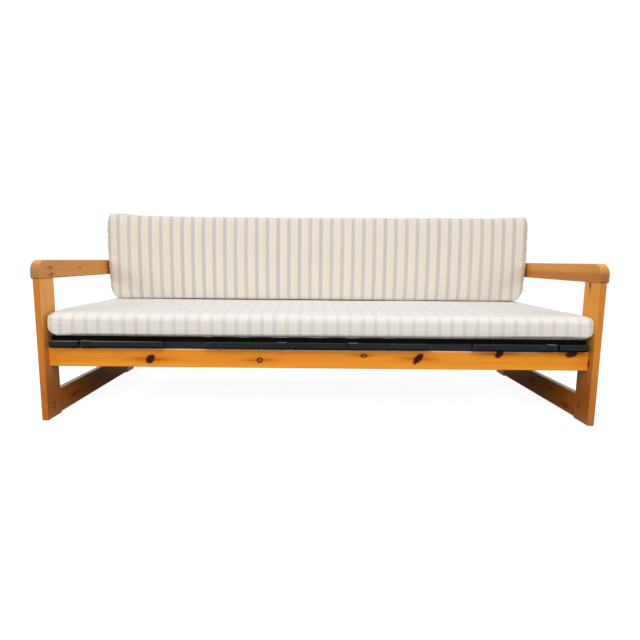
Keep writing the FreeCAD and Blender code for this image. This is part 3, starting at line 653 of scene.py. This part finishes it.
def plated(name, colour, roughness, grain=(60.0, 60.0, 60.0)):
    """Zinc plated steel: fine drawn lines, with a dull bloom in patches."""
    shade = material(name)
    place = shade.place()
    lines = shade.noise(shade.vector("MULTIPLY", place, grain), 1.0, 3.0, 0.6)
    bloom = shade.noise(place, 45.0, 4.0, 0.6)
    base = shade.mix(shade.range(bloom, 0.40, 0.72), colour, toned(colour, 0.62))
    base = shade.mix(shade.range(lines, 0.35, 0.65, 0.0, 0.28), base, toned(colour, 0.50))
    rough = lines * 0.16 + bloom * 0.22 + (roughness - 0.16)
    return shade.surface(base, rough, shade.bump(lines, 0.02 * millimetre), Metallic=1.0)


def moulded(name, colour, roughness, gloss=0.5):
    """Moulded plastic with a fine spark texture."""
    shade = material(name)
    place = shade.place()
    spark = shade.noise(place, 900.0)
    cloud = shade.noise(place, 25.0, 3.0)
    base = shade.mix(shade.range(cloud, 0.3, 0.8, 0.0, 0.6), colour, toned(colour, 1.35, 0.004))
    rough = shade.range(spark, 0.3, 0.7, roughness - 0.08, roughness + 0.08, False)
    return shade.surface(base, rough, shade.bump(spark, 0.03 * millimetre),
                         Specular_IOR_Level=gloss)


def bracket_steel():
    """A leg bracket: black in front, its bent top paler in patches."""
    shade = material("bracket_enamel")
    chips = shade.noise(shade.place(), 170.0, 4.0, 0.7)
    paler_top = shade.facing_up(0.5, 0.8) * shade.range(chips, 0.32, 0.50)
    colour = shade.mix(paler_top, (0.0075, 0.0085, 0.011), (0.220, 0.220, 0.200))
    rough = shade.range(chips, 0.3, 0.7, 0.30, 0.50, False)
    return shade.surface(colour, rough, shade.bump(chips, 0.03 * millimetre),
                         Specular_IOR_Level=0.16)


def dress_metal():
    """The seat frame, its legs and every fitting."""
    legs = [f"{side}_{kind}_leg" for side in ("left", "right") for kind in ("outer", "inner")]
    leg_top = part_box("left_outer_leg")[1].z
    dress(enamel("black_enamel", (0.0026, 0.0036, 0.0030), 0.42, 0.20),
          "left_side_bar", "right_side_bar", "rear_angle", "cross_bar")
    dress(enamel("angle_enamel", (0.0020, 0.0030, 0.0022), 0.42, 0.10, 0.02,
                 (leg_top, angle_reflection)), "front_angle")
    dress(enamel("leg_enamel", (0.0068, 0.0078, 0.0100), 0.30, 0.35, 0.14, lit_tops=leg_highlight),
          "left_stub_tube", "centre_stub_tube", "right_stub_tube", *legs)
    dress(moulded("leg_cap_plastic", (0.012, 0.013, 0.016), 0.4, 0.24),
          *(leg + "_cap" for leg in legs))
    dress(bracket_steel(), *(leg + "_bracket" for leg in legs))
    dress(moulded("skid_plastic", (0.004, 0.005, 0.005), 0.5, 0.05),
          "left_front_skid", "centre_front_skid", "right_front_skid")
    dress(moulded("bar_cap_plastic", (0.020, 0.020, 0.021), 0.5), "side_bar_caps")
    dress(moulded("nylon_white", (0.760, 0.745, 0.690), 0.42),
          "channel_mouth_pads", "side_bar_pads")
    dress(plated("channel_zinc", (0.52, 0.53, 0.54), 0.36, (700.0, 12.0, 700.0)),
          "left_guide_channel", "right_guide_channel")
    dress(plated("fastener_zinc", (0.60, 0.59, 0.55), 0.32), "rail_bolts", "barrel_nuts",
          "ledger_screws", "slat_screws", "channel_screws", "slat_rivets")
    dress(enamel("pivot_black", (0.016, 0.016, 0.017), 0.30), "leg_pivot_bolts",
          "leg_pivot_nuts")


# Ticking

stripe_share = 0.44
stripe_blur = 0.095
hair_run, hairs_per_pitch = (0.12, 0.20), 16
edge_line = ((0.245, 0.265), (0.285, 0.30))
top_sheen = (0.955, 0.975, 0.995)
thread = 0.85 * millimetre
stitch = 5 * millimetre
seat_cloth = {
    "pitch": 0.04605, "start": -0.9405, "ground": (0.835, 0.808, 0.770),
    "band": (0.665, 0.668, 0.690), "warm": (0.830, 0.748, 0.662), "end_shade": (0.90, 0.90, 0.88),
    "crease": seat_low.z + 0.024,
}
back_cloth = {
    "pitch": 0.05035, "start": -0.9365, "ground": (0.755, 0.705, 0.632),
    "band": (0.500, 0.485, 0.475), "warm": (0.745, 0.640, 0.525), "end_shade": (0.74, 0.76, 0.74),
}


def striped(shade, cloth, across, wander, upward):
    """Bands of fine lines on the ground, with warm hair lines between them."""
    drawn = across + swing(wander, 0.0030) - cloth["start"]
    share = drawn * (1 / cloth["pitch"]) + stripe_share / 2
    step, count = shade.math("FRACT", share), shade.math("FLOOR", share)
    lines = shade.math("SINE", step * (math.tau / (stripe_share / 6)))
    # On faces that look up the stripes fade: part of the painted sheen
    stripe = (shade.band(step, (0.0, stripe_blur), (stripe_share - stripe_blur, stripe_share))
              * shade.range(lines, -0.6, 0.9, 0.72, 1.0)
              * shade.range(shade.random(count), 0.0, 1.0, 0.82, 1.0, False)
              * (upward * -0.55 + 1.0))
    aside = abs(step - (1 + stripe_share) / 2)
    wave = shade.math("SINE", step * (math.tau * hairs_per_pitch))
    hair = shade.fall(aside, *hair_run) * shade.range(wave, -0.2, 0.8)
    edge = shade.band(aside, *edge_line)
    colour = shade.mix(hair * 0.75, cloth["ground"], cloth["warm"])
    colour = shade.mix(edge * 0.35, colour, cloth["warm"])
    mauve = shade.range(shade.random(count + 31.0), 0.2, 0.8)
    band = shade.mix(mauve, cloth["band"], toned(cloth["band"], (1.03, 0.985, 0.985)))
    return shade.mix(stripe, colour, band)


def ticking(name, cloth, ends):
    """Woven ticking: blue-grey bands of fine lines on cream, with warm hair lines between.

    The stripes run from front to rear and down the front; past the ends they turn, because the
    end panels are cut from the same cloth and sewn on. On top they are fainter, in a painted sheen.
    """
    shade = material(name)
    ground = cloth["ground"]
    x, y, z = shade.split(shade.place())
    upward = shade.facing_up(0.35, 0.90)
    seam = shade.math("MINIMUM", x - ends[0], ends[1] - x)
    on_end = shade.math("LESS_THAN", seam, 0.0)
    across = x + on_end * (y - x)
    along = z - y * (1.0 - on_end)
    wander = shade.noise(shade.join(across * 9.0, along * 3.0))
    colour = striped(shade, cloth, across, wander, upward)
    # Faces that look up get a paler, bluer painted sheen
    colour = shade.tinted(upward, colour, top_sheen)
    # The end panels are darker: painted shade on their roundings
    colour = shade.tinted(on_end * 0.8, colour, cloth["end_shade"])

    # Threads: slubs run along the warp and the weft, under a plain weave.
    warp, weft = (shade.noise(shade.join(across * fine, along * long), 1.0, 2.0, 0.6)
                  for fine, long in ((1500.0, 55.0), (50.0, 1300.0)))
    weave = (shade.math("SINE", across * (math.tau / thread))
             * shade.math("SINE", along * (math.tau / thread)))
    slub = shade.range(warp * 0.5 + weft * 0.5, 0.36, 0.64, 0.925, 1.045, False) + weave * 0.02
    colour = shade.tinted(1.0, colour, shade.join(slub, slub, slub))
    soil = shade.noise(shade.place(), 2.3, 4.0, 0.6)
    colour = shade.mix(shade.range(soil, 0.40, 0.75, 0.0, 0.16), colour,
                       toned(ground, (0.93, 0.90, 0.84)))

    # The end seams: a sunk line with stitches, and puckers that run off it.
    beat = shade.math("SINE", (y + z) * (math.tau / stitch))
    line = shade.bell(seam, 1.1 * millimetre)
    sewn = shade.range(shade.range(beat, -0.5, 0.5), 0.0, 1.0, 0.30, 0.60)
    colour = shade.mix(line * sewn, colour, toned(ground, 0.30))
    ripple = shade.noise(shade.scaled((seam, y, z), (25.0, 190.0, 190.0)))
    pucker = ripple * shade.bell(seam, 16 * millimetre) * 7.0
    relief = weave * 0.35 + warp + weft + pucker + line * -5.0
    # A crease along the lower front: a bump, and in it a darker colour that is painted shade
    if "crease" in cloth:
        level = z - cloth["crease"] + swing(wander, 0.006)
        fold = (shade.bell(level, 1.6 * millimetre) * (1.0 - upward)
                * shade.range(wander, 0.35, 0.65, 0.25, 1.0))
        colour = shade.mix(fold * 0.16, colour, toned(ground, 0.45))
        relief += fold * -4.0
    return shade.surface(colour, 0.88, shade.bump(relief, 0.16 * millimetre), Sheen_Weight=0.12,
                         Sheen_Roughness=0.5, Specular_IOR_Level=0.25)


# Meshes

def link(name, data):
    made = bpy.data.objects.new(name, data)
    bpy.context.scene.collection.objects.link(made)
    return made


def oval_inset(height, total, edges):
    """How far a side draws in at a height; edges are the (width, height) of its roundings."""
    for rise, (width, reach) in zip((height, total - height), edges):
        if rise < reach:
            return width * (1 - math.sqrt(max(0.0, 1 - (1 - rise / reach) ** 2)))
    return 0.0


def rounded_ring(u_span, v_span, corner, bows, per_side=48, per_corner=7):
    """Points round a rectangle with rounded corners, whose sides bow out by the given amounts."""
    (left, right), (low, high) = ((a + corner, b - corner) for a, b in (u_span, v_span))
    centres = ((left, low), (right, low), (right, high), (left, high))
    ways = ((0, -1), (1, 0), (0, 1), (-1, 0))
    points = []
    for number, (start, out, bow) in enumerate(zip(centres, ways, bows)):
        end = centres[(number + 1) % 4]
        for step in range(per_side):
            t = step / (per_side - 1)
            reach = corner + bow * math.sin(math.pi * t)
            points.append(tuple(a + (b - a) * t + way * reach
                                for a, b, way in zip(start, end, out)))
        for step in range(1, per_corner):
            angle = math.pi / 2 * (number - 1 + step / per_corner)
            points.append((end[0] + corner * math.cos(angle),
                           end[1] + corner * math.sin(angle)))
    return points


def skin(name, rings):
    """A closed mesh through rings of points, capped at both ends."""
    mesh = bpy.data.meshes.new(name)
    build = bmesh.new()
    rows = [[build.verts.new(point) for point in ring] for ring in rings]
    for below, above in zip(rows, rows[1:]):
        for number in range(len(below)):
            following = (number + 1) % len(below)
            build.faces.new((below[number], below[following], above[following], above[number]))
    for row in (rows[0], rows[-1]):
        middle = sum((vert.co for vert in row), Vector()) / len(row)
        hub = build.verts.new(middle)
        for number in range(len(row)):
            build.faces.new((row[number], row[(number + 1) % len(row)], hub))
    bmesh.ops.recalc_face_normals(build, faces=build.faces)
    build.to_mesh(mesh)
    build.free()
    return link(name, mesh)


def smooth_steps(total, low, high, fine=9, coarse=8):
    """Distances from 0 to total, close together within low and high of the ends."""
    eased = [1 - math.cos(math.pi / 2 * step / fine) for step in range(fine)]
    places = [low * share for share in eased]
    places += [low + (total - low - high) * step / coarse for step in range(coarse + 1)]
    places += [total - high * share for share in reversed(eased)]
    return places


def mattress_skin(gap):
    """The seat mattress before it is filled, drawn in by a gap all round."""
    low, high = seat_low + Vector((gap,) * 3), seat_high - Vector((gap,) * 3)
    height = mattress_wall - 2 * gap
    crown = high.z - low.z - height
    rings = []

    def add(side, left, right, z, bow):
        ring = rounded_ring((low.x + left, high.x - right), (low.y + side, high.y - side),
                            mattress_corner, (-side_hollow * bow, -end_hollow * bow) * 2)
        rings.append([(x, y, z) for x, y in ring])

    for rise in smooth_steps(height, *mattress_fine_ends):
        side, left, right = (oval_inset(rise, height, edges)
                             for edges in (side_edges, left_edges, right_edges))
        add(side, left, right, low.z + rise, 1)
    half = (high.y - low.y) / 2
    edge = side_edges[1][0]
    for share in crown_shares:
        inset = edge + (half - edge) * share
        left, right = (inset - fuller for fuller in crown_fuller)
        add(inset, left, right, low.z + height + crown * (1 - (1 - share) ** 2), 1 - share)
    return skin("mattress_cover", rings)


def back_skin(gap):
    """The back cushion before it is filled, drawn in by a gap all round."""
    low, high = back_low + Vector((gap,) * 3), back_high - Vector((gap,) * 3)
    length = high.x - low.x
    height = high.z - low.z
    thickness = cushion_thickness - 2 * gap
    rings = []
    for place in smooth_steps(length, *cushion_fine_ends, 14, 30):
        side = oval_inset(place, length, (cushion_end_edge, cushion_end_edge))
        bottom = oval_inset(place, length, cushion_bottom_edges)
        drop = oval_inset(place, length, cushion_top_edges)
        arch = math.sin(math.pi * place / length)
        top = height - drop - top_hollow * arch
        ring = rounded_ring((side, thickness - side), (bottom, top), cushion_corner,
                            (0, rear_swell, 0, front_swell + front_arch * arch), 24, 7)
        rings.append([(low.x + place, high.y - cushion_lean - cushion_off_slats - thickness + u
                       + cushion_lean * v / height, low.z + v) for u, v in ring])
    return skin("back_cushion_cover", rings)


def remesh(piece):
    """Even out a cover's mesh, so that every part of it can swell alike."""
    bpy.context.view_layer.objects.active = piece
    piece.select_set(True)
    piece.data.remesh_voxel_size = voxel
    piece.data.remesh_voxel_adaptivity = 0
    bpy.ops.object.voxel_remesh()
    piece.select_set(False)


def coordinates(mesh, kind="co"):
    """A mesh's points, or its normals, as rows of three."""
    spots = np.empty(len(mesh.vertices) * 3)
    mesh.vertices.foreach_get(kind, spots)
    return spots.reshape(-1, 3)


def write(mesh, spots):
    mesh.vertices.foreach_set("co", spots.astype(np.float32).ravel())
    mesh.update()


cloth_settings = {
    "quality": 4, "mass": 0.3, "tension_stiffness": 22, "compression_stiffness": 22,
    "shear_stiffness": 8, "bending_stiffness": 1.2, "use_pressure": True,
    "uniform_pressure_force": 4,
}
cloth_frames = 20


def puff(piece):
    """Fill a cover by cloth simulation; no point moves further than about the cap.

    What lies on the bottom stays there, because the cover rests on something.
    """
    rest = coordinates(piece.data)
    cloth = piece.modifiers.new("fill", "CLOTH")
    for key, value in cloth_settings.items():
        setattr(cloth.settings, key, value)
    cloth.settings.effector_weights.gravity = 0
    cloth.collision_settings.use_collision = False
    cloth.point_cache.frame_start = 1
    cloth.point_cache.frame_end = cloth_frames
    scene = bpy.context.scene
    for number in range(1, cloth_frames + 1):
        scene.frame_set(number)
    filled = piece.evaluated_get(bpy.context.evaluated_depsgraph_get())
    moved = coordinates(filled.to_mesh()) - rest
    piece.modifiers.remove(cloth)
    scene.frame_set(1)
    reach = np.linalg.norm(moved, axis=1, keepdims=True)
    moved = moved * (puff_cap * np.tanh(reach / puff_cap) / np.maximum(reach, 1e-9))
    resting = rest[:, 2] < rest[:, 2].min() + voxel
    moved[resting, 2] = np.maximum(moved[resting, 2], 0)
    write(piece.data, rest + moved)


def refine(piece):
    """Subdivide a cover once, so that seams and wrinkles fit its mesh."""
    piece.modifiers.new("finer", "SUBSURF").levels = 1
    graph = bpy.context.evaluated_depsgraph_get()
    finer = bpy.data.meshes.new_from_object(piece.evaluated_get(graph))
    piece.modifiers.clear()
    piece.data = finer


def above(value, limit, blend=0.001):
    """The larger of two values, with a soft change from one to the other."""
    apart = value - limit
    return limit + (apart + np.sqrt(apart ** 2 + blend ** 2)) / 2


def between(value, low, high):
    """A value kept between two limits, with soft changes."""
    return -above(-above(value, low), -high)


def share_of(value, run):
    """A value as a share of a run, kept from 0 to 1."""
    return np.clip(value / run, 0, 1)


def stretch(piece, low, high, sink, reach):
    """A cover's points, with their box mapped onto a solid's, grown below and above."""
    spots = coordinates(piece.data)
    low, high = np.array(low) - np.array(sink), np.array(high) + np.array(reach)
    was_low, was_high = spots.min(axis=0), spots.max(axis=0)
    return low + (spots - was_low) / (was_high - was_low) * (high - low)


def waves(spots, seed, scale, count=14):
    """Smooth random unevenness, about -1 to 1, of the given length scale."""
    chance = np.random.default_rng(seed)
    total = np.zeros(len(spots))
    for _ in range(count):
        way = chance.normal(size=3)
        way /= np.linalg.norm(way) * scale * chance.uniform(0.6, 1.6)
        total += np.sin(spots @ way * math.tau + chance.uniform(0, math.tau))
    return total / math.sqrt(count)


def sew(piece, ends, seed):
    """Sink the end seams, with puckers, and leave the filling slightly uneven."""
    spots, facing = coordinates(piece.data), coordinates(piece.data, "normal")
    seam = np.minimum(spots[:, 0] - ends[0], ends[1] - spots[:, 0])
    sunk = seam_depth * np.exp(-(seam / seam_width) ** 2)
    drawn = np.exp(-(seam / pucker_run) ** 2) * waves(spots * (0.25, 1, 1), seed, pucker_scale)
    loose = waves(spots, seed + 1, loose_scale)
    depth = sunk + pucker_depth * drawn + loose_depth * loose
    write(piece.data, spots - facing * depth[:, None])


def filled_cover(start_skin, low, high, seed):
    """A cover, filled and sewn, and the places of its end seams along X."""
    piece = start_skin(start_gap)
    remesh(piece)
    puff(piece)
    refine(piece)
    ends = (low.x + seam_inset, high.x - seam_inset)
    sew(piece, ends, seed)
    return piece, ends


def reach_of_ears(x):
    """1 at the two front corners where the cloth hangs, fading to 0 beside them."""
    return sum(np.exp(-((x - middle) / width) ** 4) for middle, width in ears)


def seat_cover():
    piece, ends = filled_cover(mattress_skin, seat_low, seat_high, 5)
    spots = stretch(piece, seat_low, seat_high, mattress_sink, (end_reach, 0, 0))
    x, y, z = spots.T
    x[:] = between(x, seat_low.x, seat_high.x)

    # The lower front edge rolls up off the steel, more towards the right.
    share = (x - seat_low.x) / (seat_high.x - seat_low.x)
    edge = (share_of(seat_low.y + lip_depth - y, lip_fade)
            * share_of(seat_low.z + lip_height - z, lip_height))
    z += (lip_lift + lip_lift_right * share ** 2) * edge

    # The upper side edges are full, the left one most.
    upper = (share_of(z - seat_low.z - edge_rise_from, edge_rise_run)
             * share_of(y - seat_low.y - edge_rise_depth, edge_rise_depth_run))
    for inward, rise in zip((x - seat_low.x, seat_high.x - x), edge_rises):
        z += rise * upper * np.exp(-(inward / edge_rise_width) ** 2)

    # At the front corners the cloth hangs in a small ear over the steel.
    front = share_of(seat_low.y + ear_depth - y, ear_fade)
    lower = share_of(seat_low.z + ear_height - z, ear_height)
    z -= ear_drop * reach_of_ears(x) * front * lower
    resting = (y > seat_low.y + ear_depth) | (z > seat_low.z) | (reach_of_ears(x) < least_ear)
    z[:] = np.where(resting, above(z, seat_low.z), z)
    write(piece.data, spots)
    return piece, ends


def back_cover(seat):
    piece, ends = filled_cover(back_skin, back_low, back_high, 8)
    spots = stretch(piece, back_low, back_high, cushion_sink, cushion_press)
    x, y, z = spots.T
    x[:] = between(x, back_low.x - left_reach, back_high.x)
    y[:] = -above(-y, -back_high.y)

    # The ends lean in towards the bottom.
    height = (z - back_low.z) / (back_high.z - back_low.z)
    lean = np.clip(1 - height / taper_height_share, 0, 1)
    near_left = share_of(back_low.x + taper_run - x, taper_run)
    near_right = share_of(x - back_high.x + taper_run, taper_run)
    x += lean * (left_taper * near_left - right_taper * near_right)

    # The top runs up a little towards its ends.
    upper = share_of(height - top_rise_share, 1 - top_rise_share)
    for inward, (middle, width, rise) in zip((x - back_low.x, back_high.x - x), top_rises):
        z += rise * upper * np.exp(-((inward - middle) / width) ** 2)

    # The bottom lies on the mattress, as far as that is under it.
    graph = bpy.context.evaluated_depsgraph_get()
    for index in np.nonzero(z < back_low.z + 0.020)[0]:
        start = Vector((x[index], y[index], back_low.z + 0.1))
        found, hit, _, _ = seat.ray_cast(start, Vector((0, 0, -1)), depsgraph=graph)
        if found:
            z[index] = above(z[index], hit.z + rest_gap)
    write(piece.data, spots)
    return piece, ends


def finish_cover(piece, cloth, body, node):
    for face in piece.data.polygons:
        face.use_smooth = True
    piece.data.materials.append(cloth)
    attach(piece, body)
    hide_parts(node)


def cushions():
    seat, seat_ends = seat_cover()
    back, back_ends = back_cover(seat)
    seat_ticking = ticking("seat_ticking_cloth", seat_cloth, seat_ends)
    back_ticking = ticking("back_ticking_cloth", back_cloth, back_ends)
    finish_cover(seat, seat_ticking, "seat_mattress", "seat_mattress")
    finish_cover(back, back_ticking, "back_cushion", "back_cushion")


# Floor, light and camera

white = (1.0, 1.0, 1.0)
warm_white = (1.0, 0.98, 0.95)
key_white = (1.0, 0.985, 0.96)
cool_white = (0.84, 0.93, 1.0)
floor_reach = 12.0
floor_colour, floor_bounce = (0.30, 0.30, 0.30), (0.20, 0.195, 0.19)
floor_glow = 0.91
sky_fill = 0.38


def seen_share(shade, mirrored=1.0):
    """1 for rays that see the background itself, straight, mirrored or through glass."""
    glossy = shade.read("LightPath", "Is Glossy Ray") * mirrored
    seen = shade.math("MAXIMUM", shade.read("LightPath", "Is Camera Ray"), glossy)
    return shade.math("MAXIMUM", seen, shade.read("LightPath", "Is Transmission Ray"))


def floor():
    """A pale floor: white to the camera, with the bed's shadow, and darker to bounced light."""
    mesh = bpy.data.meshes.new("floor")
    corners = [(x * floor_reach, y * floor_reach, 0)
               for x, y in ((-1, -1), (1, -1), (1, 1), (-1, 1))]
    mesh.from_pydata(corners, [], [(0, 1, 2, 3)])
    made = link("floor", mesh)
    shade = material("pale_floor")
    x, y, _ = shade.split(shade.place())
    # Under the bed the floor's glow is cut off for glossy rays: a painted shadow in its reflections
    under = shade.fall(abs(x), 0.85, 1.20) * shade.fall(abs(y), 0.25, 0.65)
    seen = seen_share(shade, 1.0 - under)
    lit = shade.fill(shade.node("BsdfDiffuse"), shade.mix(seen, floor_bounce, floor_colour))
    glow = shade.fill(shade.node("Emission"), white, seen * floor_glow)
    shade.show(shade.fill(shade.node("AddShader"), lit, glow))
    mesh.materials.append(shade.owner)


def sky():
    """A dim studio to the object, and plain white to the camera and to gloss."""
    world = bpy.data.worlds.new("studio")
    bpy.context.scene.world = world
    shade = Shade(world, "OutputWorld")
    dim, plain = (shade.fill(shade.node("Background"), colour, strength)
                  for colour, strength in ((key_white, sky_fill), (white, 1.0)))
    shade.show(shade.fill(shade.node("MixShader"), seen_share(shade), dim, plain))


# Lamps as place, target, (width, height), power and colour
lamps = {
    "key": ((0.20, -3.0, 3.4), (0.0, 0.0, 0.35), (2.6, 1.8), 58, key_white),
    "front": ((-0.05, -3.6, 1.9), (0.0, 0.0, 0.40), (2.4, 1.0), 44, warm_white),
    "top": ((0.0, 0.2, 3.6), (0.0, 0.0, 0.4), (3.2, 1.8), 21, cool_white),
    "left": ((-2.9, -1.5, 1.5), (1.0, 0.0, 0.45), (1.4, 1.2), 22, warm_white),
    "right": ((2.9, -1.5, 1.5), (-1.0, 0.0, 0.45), (1.4, 1.2), 16, warm_white),
    "rear": ((0.0, 3.6, 1.3), (0.0, 0.0, 0.40), (2.6, 1.0), 30, warm_white),
}


def lights():
    for name, (place, target, size, power, colour) in lamps.items():
        light = bpy.data.lights.new(name, "AREA")
        light.shape = "RECTANGLE"
        light.size, light.size_y = size
        light.energy = power
        light.color = colour
        made = link(name, light)
        made.location = place
        made.rotation_mode = "QUATERNION"
        made.rotation_quaternion = (Vector(target) - Vector(place)).to_track_quat("-Z", "Y")


def camera():
    """The photograph's camera: a turn to the right, a tilt down, a slight roll and a lens shift."""
    data = bpy.data.cameras.new("camera")
    made = link("camera", data)
    turns = ((-camera_yaw, "Z"), (math.pi / 2 - camera_pitch, "X"), (-camera_roll, "Z"))
    place = Matrix.Translation(camera_place)
    for angle, axis in turns:
        place = place @ Matrix.Rotation(angle, 4, axis)
    made.matrix_world = place
    data.sensor_width = sensor_width
    data.lens = focal_pixels / photo_pixels * sensor_width
    data.shift_x, data.shift_y = (shift / photo_pixels for shift in shift_pixels)
    data.clip_start, data.clip_end = camera_clip
    bpy.context.scene.camera = made


dress_wood()
dress_metal()
cushions()
floor()
sky()
lights()
camera()
bpy.context.scene.view_settings.view_transform = "Standard"

bpy.context.view_layer.update()
